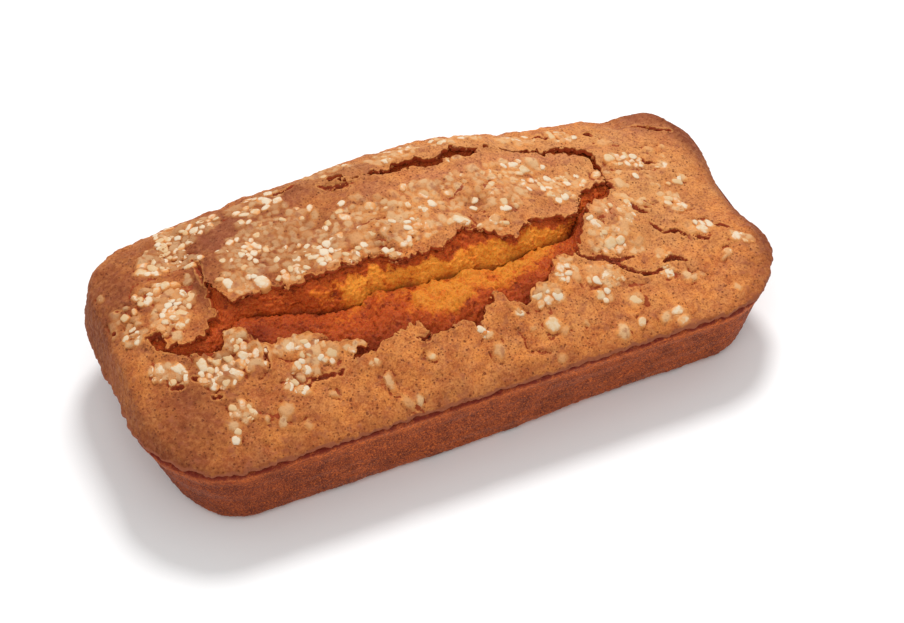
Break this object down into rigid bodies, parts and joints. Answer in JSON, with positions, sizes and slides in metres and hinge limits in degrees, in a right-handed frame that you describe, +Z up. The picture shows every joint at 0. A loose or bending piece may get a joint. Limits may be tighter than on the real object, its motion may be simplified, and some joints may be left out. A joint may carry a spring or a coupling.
{
  "type": "pound cake loaf",
  "caption": "Tapered loaf cake with rounded corners, a small rim lip and a domed crown that split along its length, leaving a raised plate of crust.",
  "frame": {"origin": "middle of the base, on the surface that the loaf stands on", "axes": "+X along the loaf, towards its lower end; -Y towards the side that the long split faces; +Z up"},
  "size_m": [0.2128, 0.0998, 0.0541],
  "materials": {
    "crust": "matte, golden brown baked crust"
  },
  "bodies": {
    "root": {"loaf": "crust"}
  },
  "joints": []
}
